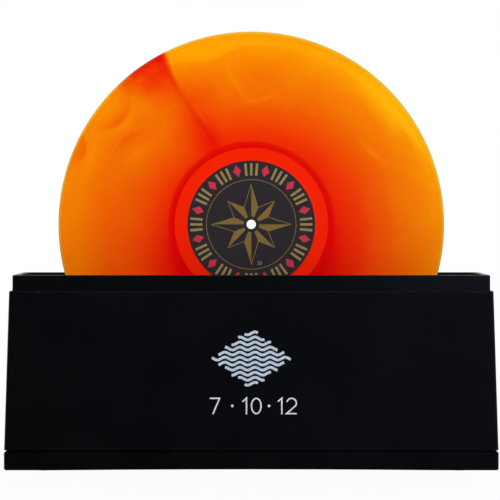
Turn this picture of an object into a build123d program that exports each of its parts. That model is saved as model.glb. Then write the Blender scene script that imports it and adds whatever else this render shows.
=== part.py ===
from build123d import *

import os
from math import atan, cos, degrees, radians, sin, sqrt

# A hand-turned washer for long-playing records. The record stands on edge in a narrow bath of
# cleaning fluid, on two rollers with rubber tyres, and is turned by hand between two upright
# hair brushes.
# The bath is a thin-walled tub: a trough, a splash shelf and an upright neck. It hangs by its
# skirt on a ledge inside a tapered outer shell, and a shallow base tray closes the shell.
#
# Millimetres. +X is to the right of the front face, +Y to the back and +Z up. The origin is on
# the surface that the feet stand on, under the middle of the bath.

# The record: a 12 inch disc.
record_radius = 150.8
record_centre_z = 188.0
record_hole_radius = 3.62
record_bead_half = 1.1        # half thickness at the rim bead and under the labels
record_runout_half = 0.92     # half thickness of the run-out ring
record_groove_half = 0.8      # half thickness over the grooves
record_label_radius = 50.0
record_label_margin = 0.6     # the thick middle ends this far outside the label
record_groove_start = 60.0
record_groove_end = 146.4
record_inner_step = 0.6       # radial length of the slopes between the thicknesses
record_outer_step = 1.4
record_edge_bevel = 0.9
label_thickness = 0.12

# Heights of the case, from the floor up.
foot_stand = 1.0
base_bottom_z = foot_stand
base_floor_z = 4.0
base_bevel_z = 14.25          # the tray's rim is bevelled above this height
base_top_z = 16.0
base_bevel_width = 2.2
base_bevel_corner = 0.5       # corner radius at the bevel's top
shell_bottom_z = base_top_z + 0.25
shell_top_z = 137.4
neck_top_z = 149.5

# Plan sizes: length along X, depth along Y.
neck_size = (365.1, 92.0)
shell_foot_size = (376.7, 103.6)
shell_draft = 3.45            # how far each side leans in from the shell's foot to its top
base_size = (377.0, 103.9)
shell_wall = 2.15
neck_corner = 1.6
shell_corner = 2.1
top_edge_round = 0.8

# The tub: a trough below, a deck that the slots open on, a sloping shelf and the neck.
tub_wall = 2.5
neck_wall = 3.5
trough_floor_z = 26.0
trough_width = 34.0
trough_floor_length = 256.0
trough_top_length = 318.0
deck_z = 104.0
shelf_top_z = 124.0
shelf_run = 17.0              # how far the shelf reaches inwards from the neck's inside
bath_corner = 9.0
trough_floor_bevel = 4.0
rim_chamfer = 0.6
skirt_bottom_z = 112.0
skirt_wall = 2.5
ledge_thickness = 3.0
ledge_reach = 5.0
fill_line_z = 131.0           # the rib that shows how high the fluid may stand
fill_rib = (1.2, 0.6)         # its height and how far it stands out

# The rollers carry the record from below, one each side of its lowest point.
roller_angle = 32.0           # from straight down, seen from the record's centre
roller_grip_radius = 12.0     # the tyre's outside
running_gap = 0.3             # between the record's edge and the tyres
roller_reach = record_radius + running_gap + roller_grip_radius
roller_x = roller_reach * sin(radians(roller_angle))
roller_z = record_centre_z - roller_reach * cos(radians(roller_angle))

# The wheel is two halves, each a hub with a flange, that trap the tyre between them.
hub_half_length = 14.6
hub_radius = 4.6
flange_radius = 16.5
flange_outer = 5.0            # distances of a flange's faces from the record's plane
flange_rim_inner = 4.0
tyre_half_width = 2.2
tyre_seat_radius = 9.0
axle_radius = 2.0
axle_half_length = 22.3
clip_radius = 3.6
clip_mouth = 2.4
clip_thickness = 0.6
clip_play = 0.05
clip_groove_radius = 1.5
clip_inner = hub_half_length + 0.1

# Each axle end turns in a flanged bush, which drops down a slot in the trough's long wall.
bush_bore_play = 0.05
bush_radius = 4.0
bush_seat_play = 0.1
bush_flange_radius = 6.0
bush_flange_thickness = 1.2
bush_end = 22.8               # distance of the bush's far end from the record's plane
slot_depth = 6.0
slot_width = 2 * (bush_radius + bush_seat_play)
small_records = {127.0: 59.5, 87.6: 32.0}   # radius of a 10 and a 7 inch disc: its slots' X

# The brushes slide down into two upright T slots at the middle of the trough.
guide_lip = 2.4
guide_floor_z = 36.0
brush_plate_width = 30.0
brush_plate_thickness = 2.8
brush_neck_width = 24.0
brush_play = 0.2
bristle_tip = 1.6             # distance of the bristles' tips from the record's plane
bristle_root = 10.5
bristle_width = 18.0
bristle_low_z = 39.0
bristle_high_z = 129.0
strip_depth = 4.0
strip_margin = 1.5
strip_round = 1.2
plate_top_z = 126.0
grip_top_z = 141.0
grip_width = 24.0
grip_lean = 6.0
grip_thickness = 3.2
grip_round = 0.8
grip_setback = 1.0            # from the strip's back to the grip's inner face
grip_overlap = 4.0            # how far the grip starts below the plate's top
grip_heel = 2.0               # how far above it the inner face starts to lean
ridge_count = 3
ridge_radius = 0.9
ridge_pitch = 3.0
ridge_margin = 2.5

# Fastenings and feet.
shell_boss = (177.5, 41.5)
tub_boss = (100.0, 0.0)
boss_radius = 4.2
boss_top_z = 46.0
web_thickness = 2.0
web_bottom_z = 24.0
pad_radius = 6.0
pad_top_z = 7.0
screw_radius = 1.4
screw_head_radius = 3.0
screw_head_height = 1.9
screw_sink = 2.8              # depth of the pocket for the head
screw_bore_length = 14.0
screw_end_room = 1.0          # what the bore is deeper than the screw
screw_play = 0.05
head_pocket_play = 0.4
screw_hole_play = 0.2
foot_place = (159.0, 35.0)
foot_radius = 8.0
foot_pocket = 1.5
foot_chamfer = 0.5
foot_pocket_play = 0.1

# The base tray's spigot, ribs and arched underside.
spigot_top_z = 22.5
spigot_wall = 2.2
spigot_play = 0.15
base_edge_chamfer = 1.0
rib_thickness = 1.8
rib_height = 2.0
long_rib_length = 300.0
long_rib_pitch = 48.0
long_rib_count = 2
cross_rib_length = 84.0
cross_rib_pitch = 72.0
cross_rib_count = 4
arch_half_span = 146.0
arch_rise = 0.8

sides = {"left": -1, "right": 1}
faces = {"front": -1, "rear": 1}
upright = (Align.CENTER, Align.CENTER, Align.MIN)
hanging = (Align.CENTER, Align.CENTER, Align.MAX)
steep = 0.5                   # the least rise per length of an edge that counts as rising

os.makedirs("parts", exist_ok=True)


def save(piece, name):
    """Labels a finished piece and writes it as its own file."""
    piece.part.label = name
    export_step(piece.part, f"parts/{name}.step")


def grown(size, amount):
    """A plan size with the same amount added on all four sides."""
    return size[0] + 2 * amount, size[1] + 2 * amount


def mirrored(place):
    """The points that mirror one point of the plan: four, or two if it is on the middle line."""
    x, y = place
    return [(x, y), (-x, y), (-x, -y), (x, -y)] if y else [(x, 0), (-x, 0)]


def at_height(places, z):
    """The same plan points, raised to a height."""
    return [(x, y, z) for x, y in places]


def shell_size_at(height):
    """Plan size of the outer shell's outside at a height."""
    return grown(shell_foot_size, -shell_draft * (height - shell_bottom_z) / shell_height)


def trough_outline(low_z, high_z, wall):
    """The trough seen from the front, between two heights, with a wall's thickness added."""
    low_half = trough_floor_length / 2 + wall
    high_half = trough_top_length / 2 + wall
    Polygon((-low_half, low_z), (low_half, low_z), (high_half, high_z), (-high_half, high_z),
            align=None)


def sloping_edges(piece, top_z):
    """The edges that rise and end below a height, such as the corners of a trough."""
    rising = piece.edges().filter_by(lambda edge: abs(edge.tangent_at(0).Z) > steep)
    return rising.filter_by(lambda edge: edge.center().Z < top_z)


def slot_height(radius, x):
    """Height of the rollers that hold a record of this radius with its centre where it is."""
    reach = radius + running_gap + roller_grip_radius
    return record_centre_z - sqrt(reach ** 2 - x ** 2)


# ---------------------------------------------------------------- outer shell
shell_height = shell_top_z - shell_bottom_z
shell_taper = degrees(atan(shell_draft / shell_height))

with BuildPart() as outer_shell:
    with BuildSketch(Plane.XY.offset(shell_bottom_z)):
        Rectangle(*shell_foot_size)
    extrude(amount=shell_height, taper=shell_taper)
    fillet(sloping_edges(outer_shell, shell_top_z), shell_corner)
    fillet(outer_shell.faces().sort_by(Axis.Z)[-1].edges(), top_edge_round)
    with BuildSketch(Plane.XY.offset(shell_bottom_z)):
        Rectangle(*grown(shell_foot_size, -shell_wall))
    extrude(amount=shell_height, taper=shell_taper, mode=Mode.SUBTRACT)
    # the ledge that the tub's skirt stands on, rooted in the wall
    ledge_outside = grown(shell_size_at(skirt_bottom_z), -shell_wall / 2)
    with BuildSketch(Plane.XY.offset(skirt_bottom_z - ledge_thickness)):
        Rectangle(*ledge_outside)
        Rectangle(*grown(ledge_outside, -ledge_reach), mode=Mode.SUBTRACT)
    extrude(amount=ledge_thickness)
    # screw bosses in the corners, each tied to both walls by a web
    wall_x, wall_y = (length / 2 - shell_wall / 2 for length in shell_size_at(boss_top_z))
    reach_x = wall_x - shell_boss[0]
    reach_y = wall_y - shell_boss[1]
    web_height = boss_top_z - web_bottom_z
    for x, y in mirrored(shell_boss):
        toward_end = 1 if x > 0 else -1
        toward_face = 1 if y > 0 else -1
        with Locations((x, y, pad_top_z)):
            Cylinder(boss_radius, boss_top_z - pad_top_z, align=upright)
        with Locations((x + toward_end * reach_x / 2, y, web_bottom_z)):
            Box(reach_x, web_thickness, web_height, align=upright)
        with Locations((x, y + toward_face * reach_y / 2, web_bottom_z)):
            Box(web_thickness, reach_y, web_height, align=upright)
    with Locations(*at_height(mirrored(shell_boss), pad_top_z)):
        Cylinder(screw_radius + screw_play, screw_bore_length, align=upright, mode=Mode.SUBTRACT)
save(outer_shell, "outer_shell")

# ---------------------------------------------------------------- inner tub
# The bath's inside, as the mould's core would leave it. The slots for the bushes and the
# brushes stand out from the core's long faces, and all of them open upwards on the deck.
neck_inside = grown(neck_size, -neck_wall)
trough_half = trough_width / 2
slots = [(roller_x, roller_z)]
slots += [(x, slot_height(radius, x)) for radius, x in small_records.items()]
plate_near = trough_half + guide_lip
plate_far = plate_near + brush_plate_thickness + 2 * brush_play
guide_slot_width = brush_plate_width + 2 * brush_play
guide_mouth_width = brush_neck_width + 2 * brush_play

with BuildPart() as bath_core:
    # the neck and the shelf below it: a box with bevelled lower edges
    with BuildSketch(Plane.XY.offset(deck_z)):
        Rectangle(*neck_inside)
    extrude(amount=neck_top_z - deck_z)
    chamfer(bath_core.faces().sort_by(Axis.Z)[0].edges(), shelf_top_z - deck_z, shelf_run)
    fillet(bath_core.edges().filter_by(Axis.Z), bath_corner)
    with BuildSketch(Plane.XY.offset(neck_top_z - rim_chamfer)):
        RectangleRounded(*neck_inside, bath_corner)
    extrude(amount=rim_chamfer, taper=-45)
    # the trough: its ends slope, its long sides are upright
    with BuildSketch(Plane.XZ):
        trough_outline(trough_floor_z, deck_z, 0)
    extrude(amount=trough_half, both=True)
    fillet(sloping_edges(bath_core, deck_z), bath_corner)
    chamfer(bath_core.faces().sort_by(Axis.Z)[0].edges(), trough_floor_bevel)
    for face in faces.values():
        with BuildSketch(Plane.XZ.offset(-face * trough_half)):
            for x, z in slots:
                with Locations((x, z), (-x, z)):
                    Circle(slot_width / 2)
                    Rectangle(slot_width, deck_z - z, align=(Align.CENTER, Align.MIN))
        extrude(amount=-face * slot_depth)
        with BuildSketch(Plane.XY.offset(guide_floor_z)):
            with Locations((0, face * (trough_half + plate_far) / 2)):
                Rectangle(guide_mouth_width, plate_far - trough_half)
            with Locations((0, face * (plate_near + plate_far) / 2)):
                Rectangle(guide_slot_width, plate_far - plate_near)
        extrude(amount=deck_z - guide_floor_z)

with BuildPart() as trough_outside:
    with BuildSketch(Plane.XZ):
        trough_outline(trough_floor_z - tub_wall, deck_z - tub_wall, tub_wall)
    extrude(amount=trough_half + tub_wall, both=True)
    fillet(sloping_edges(trough_outside, deck_z), bath_corner)

with BuildPart() as inner_tub:
    with BuildSketch(Plane.XY.offset(deck_z - tub_wall)):
        Rectangle(*neck_size)
    extrude(amount=neck_top_z - deck_z + tub_wall)
    shelf_outer_run = shelf_run + neck_wall - tub_wall
    chamfer(inner_tub.faces().sort_by(Axis.Z)[0].edges(), shelf_top_z - deck_z, shelf_outer_run)
    fillet(inner_tub.edges().filter_by(Axis.Z), neck_corner)
    fillet(inner_tub.faces().sort_by(Axis.Z)[-1].edges(), top_edge_round)
    with BuildSketch(Plane.XY.offset(skirt_bottom_z)):
        RectangleRounded(*neck_size, neck_corner)
        Rectangle(*grown(neck_size, -skirt_wall), mode=Mode.SUBTRACT)
    extrude(amount=shelf_top_z - tub_wall - skirt_bottom_z)
    add(trough_outside.part)
    # the slots' own walls, which stand out from the trough's long sides
    for face in faces.values():
        with BuildSketch(Plane.XZ.offset(-face * trough_half)):
            for x, z in slots:
                wall_foot_z = z - slot_width / 2 - tub_wall
                with Locations((x, wall_foot_z), (-x, wall_foot_z)):
                    Rectangle(slot_width + 2 * tub_wall, deck_z - wall_foot_z,
                              align=(Align.CENTER, Align.MIN))
        extrude(amount=-face * (slot_depth + tub_wall))
        with BuildSketch(Plane.XY.offset(guide_floor_z - tub_wall)):
            with Locations((0, face * (trough_half + plate_far + tub_wall) / 2)):
                Rectangle(guide_slot_width + 2 * tub_wall, plate_far + tub_wall - trough_half)
        extrude(amount=deck_z - guide_floor_z + tub_wall)
    with Locations(*at_height(mirrored(tub_boss), pad_top_z)):
        Cylinder(boss_radius, trough_floor_z - tub_wall / 2 - pad_top_z, align=upright)
    with Locations(*at_height(mirrored(tub_boss), pad_top_z)):
        Cylinder(screw_radius + screw_play, screw_bore_length, align=upright, mode=Mode.SUBTRACT)
    add(bath_core.part, mode=Mode.SUBTRACT)
    # the fill line, a thin rib on each end wall of the neck
    rib_height_z, rib_stand = fill_rib
    with Locations(*[(side * neck_inside[0] / 2, 0, fill_line_z) for side in sides.values()]):
        Box(2 * rib_stand, neck_inside[1] - 2 * bath_corner, rib_height_z)
save(inner_tub, "inner_tub")

# ---------------------------------------------------------------- base tray
spigot_size = grown(shell_foot_size, -shell_wall - spigot_play)

with BuildPart() as base_tray:
    with BuildSketch(Plane.XY.offset(base_bottom_z)):
        RectangleRounded(*base_size, shell_corner)
    extrude(amount=base_bevel_z - base_bottom_z)
    chamfer(base_tray.faces().sort_by(Axis.Z)[0].edges(), base_edge_chamfer)
    # the bevel leaves a V groove all round, under the shell's lower edge
    with BuildSketch(Plane.XY.offset(base_bevel_z)):
        RectangleRounded(*base_size, shell_corner)
    with BuildSketch(Plane.XY.offset(base_top_z)):
        RectangleRounded(*grown(base_size, -base_bevel_width), base_bevel_corner)
    loft(ruled=True)
    with BuildSketch(Plane.XY.offset(base_top_z)):
        Rectangle(*spigot_size)
    extrude(amount=spigot_top_z - base_top_z, taper=shell_taper)
    with BuildSketch(Plane.XY.offset(base_floor_z)):
        Rectangle(*grown(spigot_size, -spigot_wall))
    extrude(amount=spigot_top_z - base_floor_z, mode=Mode.SUBTRACT)
    # stiffening ribs along and across the floor, and pads that the bosses stand on
    with BuildSketch(Plane.XY.offset(base_floor_z)):
        with GridLocations(0, long_rib_pitch, 1, long_rib_count):
            Rectangle(long_rib_length, rib_thickness)
        with GridLocations(cross_rib_pitch, 0, cross_rib_count, 1):
            Rectangle(rib_thickness, cross_rib_length)
    extrude(amount=rib_height)
    pads = mirrored(shell_boss) + mirrored(tub_boss)
    with Locations(*at_height(pads, base_floor_z)):
        Cylinder(pad_radius, pad_top_z - base_floor_z, align=upright)
    with Locations(*at_height(pads, base_bottom_z)):
        Cylinder(screw_head_radius + head_pocket_play, screw_sink, align=upright,
                 mode=Mode.SUBTRACT)
        Cylinder(screw_radius + screw_hole_play, pad_top_z, align=upright, mode=Mode.SUBTRACT)
    with Locations(*at_height(mirrored(foot_place), base_bottom_z)):
        Cylinder(foot_radius + foot_pocket_play, foot_pocket, align=upright, mode=Mode.SUBTRACT)
    # the underside rises a little between the ends, so that the tray stands on its corners
    with BuildSketch(Plane.XZ.offset(-base_size[1] / 2)):
        with BuildLine():
            ThreePointArc((-arch_half_span, base_bottom_z), (0, base_bottom_z + arch_rise),
                          (arch_half_span, base_bottom_z))
            Line((arch_half_span, base_bottom_z), (-arch_half_span, base_bottom_z))
        make_face()
    extrude(amount=base_size[1], mode=Mode.SUBTRACT)
save(base_tray, "base_tray")

# ---------------------------------------------------------------- feet and screws
for side_name, side in sides.items():
    for face_name, face in faces.items():
        with BuildPart() as foot:
            with Locations((side * foot_place[0], face * foot_place[1], 0)):
                Cylinder(foot_radius, foot_stand + foot_pocket, align=upright)
            chamfer(foot.faces().sort_by(Axis.Z)[0].edges(), foot_chamfer)
        save(foot, f"foot_{face_name}_{side_name}")

head_top_z = base_bottom_z + screw_sink
for name, place in (("shell_screws", shell_boss), ("tub_screws", tub_boss)):
    with BuildPart() as screws:
        with Locations(*at_height(mirrored(place), head_top_z)):
            Cylinder(screw_head_radius, screw_head_height, align=hanging)
            Cylinder(screw_radius, screw_bore_length - screw_end_room, align=upright)
    save(screws, name)

# ---------------------------------------------------------------- rollers
for side_name, side in sides.items():
    centre = (side * roller_x, 0, roller_z)
    spin_axis = Axis(centre, (0, 1, 0))
    # Profiles are drawn level, with the radius along X and the axle along Y.
    profile_plane = Plane(origin=centre)

    for face_name, face in faces.items():
        # Half a wheel: a hub tube, a flange that flares outwards and half the tyre's seat.
        with BuildPart() as roller_half:
            with BuildSketch(profile_plane):
                with BuildLine():
                    Polyline(
                        (axle_radius, 0),
                        (tyre_seat_radius, 0),
                        (tyre_seat_radius, face * tyre_half_width),
                        (roller_grip_radius, face * tyre_half_width),
                        (flange_radius, face * flange_rim_inner),
                        (flange_radius, face * flange_outer),
                        (hub_radius, face * flange_outer),
                        (hub_radius, face * hub_half_length),
                        (axle_radius, face * hub_half_length),
                        close=True,
                    )
                make_face()
            revolve(axis=spin_axis)
        save(roller_half, f"roller_half_{face_name}_{side_name}")

        # A flanged bush drops down the slot and stays still while the axle turns in it.
        bush_plane = Plane(origin=(centre[0], face * trough_half, centre[2]),
                           x_dir=(1, 0, 0), z_dir=(0, face, 0))
        bush_body = bush_end - trough_half
        with BuildPart() as axle_bush:
            with BuildSketch(bush_plane):
                Circle(bush_radius)
            extrude(amount=bush_body)
            with BuildSketch(bush_plane):
                Circle(bush_flange_radius)
            extrude(amount=-bush_flange_thickness)
            with BuildSketch(bush_plane.offset(-bush_flange_thickness)):
                Circle(axle_radius + bush_bore_play)
            extrude(amount=bush_body + bush_flange_thickness, mode=Mode.SUBTRACT)
        save(axle_bush, f"axle_bush_{face_name}_{side_name}")

    # The tyre: a rubber band that the record's edge stands on.
    with BuildPart() as roller_tyre:
        with BuildSketch(profile_plane):
            with Locations(((tyre_seat_radius + roller_grip_radius) / 2, 0)):
                Rectangle(roller_grip_radius - tyre_seat_radius, 2 * tyre_half_width)
        revolve(axis=spin_axis)
    save(roller_tyre, f"roller_tyre_{side_name}")

    # The axle: a ground pin with a groove for each clip.
    with BuildPart() as roller_axle:
        with BuildSketch(profile_plane):
            with Locations((axle_radius / 2, 0)):
                Rectangle(axle_radius, 2 * axle_half_length)
            for face in faces.values():
                with Locations((axle_radius, face * (clip_inner + clip_thickness / 2))):
                    Rectangle(2 * (axle_radius - clip_groove_radius),
                              clip_thickness + 2 * clip_play, mode=Mode.SUBTRACT)
        revolve(axis=spin_axis)
    save(roller_axle, f"roller_axle_{side_name}")

    # Two spring clips hold the halves of the wheel together in the middle of the axle.
    with BuildPart() as axle_clips:
        for face in faces.values():
            clip_plane = Plane(origin=(centre[0], face * clip_inner, centre[2]),
                               x_dir=(1, 0, 0), z_dir=(0, face, 0))
            with BuildSketch(clip_plane):
                Circle(clip_radius)
                Circle(clip_groove_radius + clip_play, mode=Mode.SUBTRACT)
                Rectangle(clip_mouth, 2 * clip_radius, mode=Mode.SUBTRACT,
                          align=(Align.CENTER, Align.MIN))
            extrude(amount=clip_thickness)
    save(axle_clips, f"axle_clips_{side_name}")

# ---------------------------------------------------------------- brushes
strip_root = bristle_root + strip_depth
plate_mid = (plate_near + plate_far) / 2
plate_foot_z = guide_floor_z + brush_play
bristle_mid_z = (bristle_low_z + bristle_high_z) / 2
bristle_height = bristle_high_z - bristle_low_z
grip_inner = strip_root + grip_setback      # the grip's face towards the record, at its foot
grip_outer = plate_mid + brush_plate_thickness / 2
grip_top_outer = grip_outer + grip_lean
grip_low_z = plate_top_z - grip_overlap
grip_bend_z = plate_top_z + grip_heel

for face_name, face in faces.items():
    # The holder: a plate that fills the T slot, a neck that carries the strip, and a finger
    # grip that leans away from the record.
    with BuildPart() as brush_holder:
        with BuildSketch(Plane.XY.offset(plate_foot_z)):
            with Locations((0, face * plate_mid)):
                Rectangle(brush_plate_width, brush_plate_thickness)
            with Locations((0, face * (strip_root + plate_mid) / 2)):
                Rectangle(brush_neck_width, plate_mid - strip_root)
        extrude(amount=plate_top_z - plate_foot_z)
        with BuildSketch(Plane.YZ.offset(-grip_width / 2)):
            with BuildLine():
                Polyline(
                    (face * grip_inner, grip_low_z),
                    (face * grip_outer, grip_low_z),
                    (face * grip_top_outer, grip_top_z),
                    (face * (grip_top_outer - grip_thickness), grip_top_z),
                    (face * grip_inner, grip_bend_z),
                    close=True,
                )
            make_face()
        extrude(amount=grip_width)
        fillet(brush_holder.faces().sort_by(Axis.Z)[-1].edges(), grip_round)
        # ridges for the fingers across the inner side of the grip
        for step in range(ridge_count):
            ridge_z = grip_bend_z + ridge_pitch * (step + 1)
            share = (ridge_z - grip_bend_z) / (grip_top_z - grip_bend_z)
            ridge_y = grip_inner + share * (grip_top_outer - grip_thickness - grip_inner)
            with Locations(Location((0, face * ridge_y, ridge_z), (0, 90, 0))):
                Cylinder(ridge_radius, grip_width - 2 * ridge_margin)
    save(brush_holder, f"brush_holder_{face_name}")

    # The strip that the hair is set in.
    with BuildPart() as brush_strip:
        with Locations((0, face * (bristle_root + strip_depth / 2), bristle_mid_z)):
            Box(bristle_width + 2 * strip_margin, strip_depth, bristle_height + 2 * strip_margin)
        inner_face = brush_strip.faces().sort_by(Axis.Y)[0 if face > 0 else -1]
        fillet(inner_face.edges(), strip_round)
    save(brush_strip, f"brush_strip_{face_name}")

    # The hair itself, as one soft block that stops just short of the record.
    with BuildPart() as brush_bristles:
        with Locations((0, face * (bristle_tip + bristle_root) / 2, bristle_mid_z)):
            Box(bristle_width, bristle_root - bristle_tip, bristle_height)
    save(brush_bristles, f"brush_bristles_{face_name}")

# ---------------------------------------------------------------- record
centre = (0, 0, record_centre_z)
record_axis = Axis(centre, (0, 1, 0))
bead_end = record_label_radius + record_label_margin

with BuildPart() as record_disc:
    with BuildSketch(Plane(origin=centre)):
        with BuildLine():
            Polyline(
                (record_hole_radius, 0),
                (record_hole_radius, record_bead_half),
                (bead_end, record_bead_half),
                (bead_end + record_inner_step, record_runout_half),
                (record_groove_start, record_runout_half),
                (record_groove_start + record_inner_step, record_groove_half),
                (record_groove_end, record_groove_half),
                (record_groove_end + record_outer_step, record_bead_half),
                (record_radius - record_edge_bevel, record_bead_half),
                (record_radius, 0),
                close=True,
            )
        make_face()
        mirror(about=Plane(origin=centre, z_dir=(0, 1, 0)))
    revolve(axis=record_axis)
save(record_disc, "record_disc")

for face_name, face in faces.items():
    label_plane = Plane(origin=(0, face * record_bead_half, record_centre_z),
                        x_dir=(1, 0, 0), z_dir=(0, face, 0))
    with BuildPart() as record_label:
        with BuildSketch(label_plane):
            Circle(record_label_radius)
            Circle(record_hole_radius, mode=Mode.SUBTRACT)
        extrude(amount=label_thickness)
    save(record_label, f"record_label_{face_name}")
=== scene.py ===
from math import cos, radians, sin, tau

import bpy
import numpy as np
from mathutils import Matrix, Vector


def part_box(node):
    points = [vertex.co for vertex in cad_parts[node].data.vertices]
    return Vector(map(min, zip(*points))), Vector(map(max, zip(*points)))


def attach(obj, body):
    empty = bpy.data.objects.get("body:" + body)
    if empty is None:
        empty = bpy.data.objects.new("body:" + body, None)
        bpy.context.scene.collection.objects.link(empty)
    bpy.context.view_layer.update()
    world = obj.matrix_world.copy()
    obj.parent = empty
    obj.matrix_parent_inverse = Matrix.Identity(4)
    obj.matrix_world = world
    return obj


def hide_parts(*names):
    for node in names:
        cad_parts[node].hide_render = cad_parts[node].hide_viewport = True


# The looks of a hand-turned record washer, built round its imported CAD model. Metres, with +X to
# the right of the front face, +Y to the back and +Z up, from the floor under the bath's middle.

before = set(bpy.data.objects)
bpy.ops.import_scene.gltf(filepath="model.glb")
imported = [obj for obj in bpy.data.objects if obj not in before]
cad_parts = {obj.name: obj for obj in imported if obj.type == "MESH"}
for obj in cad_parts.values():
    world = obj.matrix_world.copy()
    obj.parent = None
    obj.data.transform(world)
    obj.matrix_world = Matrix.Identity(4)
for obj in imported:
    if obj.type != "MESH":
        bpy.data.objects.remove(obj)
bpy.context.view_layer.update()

mm = 0.001
faces = {"front": -1, "rear": 1}     # the side of each face along Y

# The record's middle, and its labels' outer faces, which are at + and - label_face along Y.
disc_low, disc_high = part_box("record_disc")
record_middle = (disc_low + disc_high) / 2
label_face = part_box("record_label_rear")[1].y

# The outer shell's front, which leans back by its draft.
shell_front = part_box("outer_shell")[0].y
shell_foot_z = 16.25 * mm
shell_top_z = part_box("outer_shell")[1].z
shell_draft = 3.45 * mm
shell_slope = shell_draft / (shell_top_z - shell_foot_z)

print_lift = 0.02 * mm         # how far ink stands clear of what it is printed on
ink_thickness = 0.03 * mm
label_line = 0.55 * mm         # the width of the thin lines on the labels


# ---------------------------------------------------------------- numbers that vary over a surface
class Field:
    """A number at each point of a surface. Arithmetic on it adds nodes to a shader's tree."""

    def __init__(self, tree, socket):
        self.tree = tree
        self.socket = socket

    def math(self, operation, *others):
        """One Math node, whose first operand is this field."""
        node = self.tree.nodes.new("ShaderNodeMath")
        node.operation = operation
        for slot, value in zip(node.inputs, (self, *others)):
            plug(self.tree, value, slot)
        return Field(self.tree, node.outputs[0])

    def __add__(self, other):
        return self.math("ADD", other)

    def __sub__(self, other):
        return self.math("SUBTRACT", other)

    def __mul__(self, other):
        return self.math("MULTIPLY", other)

    def __truediv__(self, other):
        return self.math("DIVIDE", other)

    def __pow__(self, other):
        return self.math("POWER", other)

    def __rsub__(self, other):
        return self * -1 + other

    def rise(self, low, high):
        """0 below low, 1 above high, with a smooth change between. High may be the lower one."""
        node = self.tree.nodes.new("ShaderNodeMapRange")
        node.interpolation_type = "SMOOTHSTEP"
        plug(self.tree, self, node.inputs["Value"])
        node.inputs["From Min"].default_value = low
        node.inputs["From Max"].default_value = high
        return Field(self.tree, node.outputs["Result"])

    def hump(self, middle, width):
        """A bell of height 1 at the middle, which falls to 1/e at the width on each side."""
        off = (self - middle) / width
        return (off * off * -1).math("EXPONENT")

    def ramp(self, stops):
        """A colour that runs through the stops, which are (place, (red, green, blue)) in sRGB."""
        node = self.tree.nodes.new("ShaderNodeValToRGB")
        plug(self.tree, self, node.inputs["Fac"])
        points = node.color_ramp.elements
        while len(points) < len(stops):
            points.new(0.5)
        for point, (place, colour) in zip(points, stops):
            point.position = place
            point.color = linear(colour)
        return Field(self.tree, node.outputs["Color"])


def plug(tree, value, slot):
    """Feeds a field, or a plain number or colour, into a node's socket."""
    if isinstance(value, Field):
        tree.links.new(value.socket, slot)
    else:
        slot.default_value = value


def linear(colour):
    """An sRGB colour of 0 to 255 as the linear RGBA that shaders use."""
    share = np.array(colour, float) / 255
    light = np.where(share <= 0.04045, share / 12.92, ((share + 0.055) / 1.055) ** 2.4)
    return (*light, 1.0)


class Finish:
    """A material being made: one Principled shader, and the place on the object in metres."""

    def __init__(self, name, roughness=0.5, specular=0.5, metallic=0.0):
        self.material = bpy.data.materials.new(name)
        self.material.use_nodes = True
        self.tree = self.material.node_tree
        self.shader = self.tree.nodes["Principled BSDF"]
        self.shader.inputs["Roughness"].default_value = roughness
        self.shader.inputs["Specular IOR Level"].default_value = specular
        self.shader.inputs["Metallic"].default_value = metallic
        self.place = self.tree.nodes.new("ShaderNodeTexCoord").outputs["Object"]
        split = self.tree.nodes.new("ShaderNodeSeparateXYZ")
        self.tree.links.new(self.place, split.inputs[0])
        self.x, self.y, self.z = (Field(self.tree, out) for out in split.outputs)

    def point(self, x, y, z):
        """A vector of three fields or numbers."""
        node = self.tree.nodes.new("ShaderNodeCombineXYZ")
        for slot, value in zip(node.inputs, (x, y, z)):
            plug(self.tree, value, slot)
        return node.outputs[0]

    def stretched(self, x, y, z):
        """The place on the object with each axis scaled, for a grain that runs one way."""
        node = self.tree.nodes.new("ShaderNodeMapping")
        node.inputs["Scale"].default_value = (x, y, z)
        self.tree.links.new(self.place, node.inputs["Vector"])
        return node.outputs[0]

    def noise(self, size, detail=2.0, rough=0.5, warp=0.0, at=None):
        """Soft noise from about 0 to 1, whose patches are this many metres across."""
        node = self.tree.nodes.new("ShaderNodeTexNoise")
        node.inputs["Scale"].default_value = 1 / size
        node.inputs["Detail"].default_value = detail
        node.inputs["Roughness"].default_value = rough
        node.inputs["Distortion"].default_value = warp
        self.tree.links.new(at or self.place, node.inputs["Vector"])
        return Field(self.tree, node.outputs["Fac"])

    def specks(self, size):
        """Distance to the nearest of many scattered points, as a share of their spacing."""
        node = self.tree.nodes.new("ShaderNodeTexVoronoi")
        node.inputs["Scale"].default_value = 1 / size
        self.tree.links.new(self.place, node.inputs["Vector"])
        return Field(self.tree, node.outputs["Distance"])

    def attribute(self, name):
        """A number stored on the mesh's points."""
        node = self.tree.nodes.new("ShaderNodeAttribute")
        node.attribute_name = name
        return Field(self.tree, node.outputs["Fac"])

    def mixed(self, share, low, high):
        """A colour between two others, each a field or an sRGB colour."""
        node = self.tree.nodes.new("ShaderNodeMix")
        node.data_type = "RGBA"
        plug(self.tree, share, node.inputs["Factor"])
        colour_slots = [slot for slot in node.inputs if slot.type == "RGBA"]
        for colour, slot in zip((low, high), colour_slots):
            plug(self.tree, colour if isinstance(colour, Field) else linear(colour), slot)
        return Field(self.tree, next(out for out in node.outputs if out.type == "RGBA"))

    def colour(self, value):
        """Sets the shader's base colour."""
        plug(self.tree, value, self.shader.inputs["Base Color"])

    def rough(self, value):
        """Sets the shader's roughness to a field."""
        plug(self.tree, value, self.shader.inputs["Roughness"])

    def relief(self, height, depth):
        """Bumps the surface by a height field of 0 to 1, times the depth in metres."""
        node = self.tree.nodes.new("ShaderNodeBump")
        node.inputs["Distance"].default_value = depth
        plug(self.tree, height, node.inputs["Height"])
        self.tree.links.new(node.outputs["Normal"], self.shader.inputs["Normal"])


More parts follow.
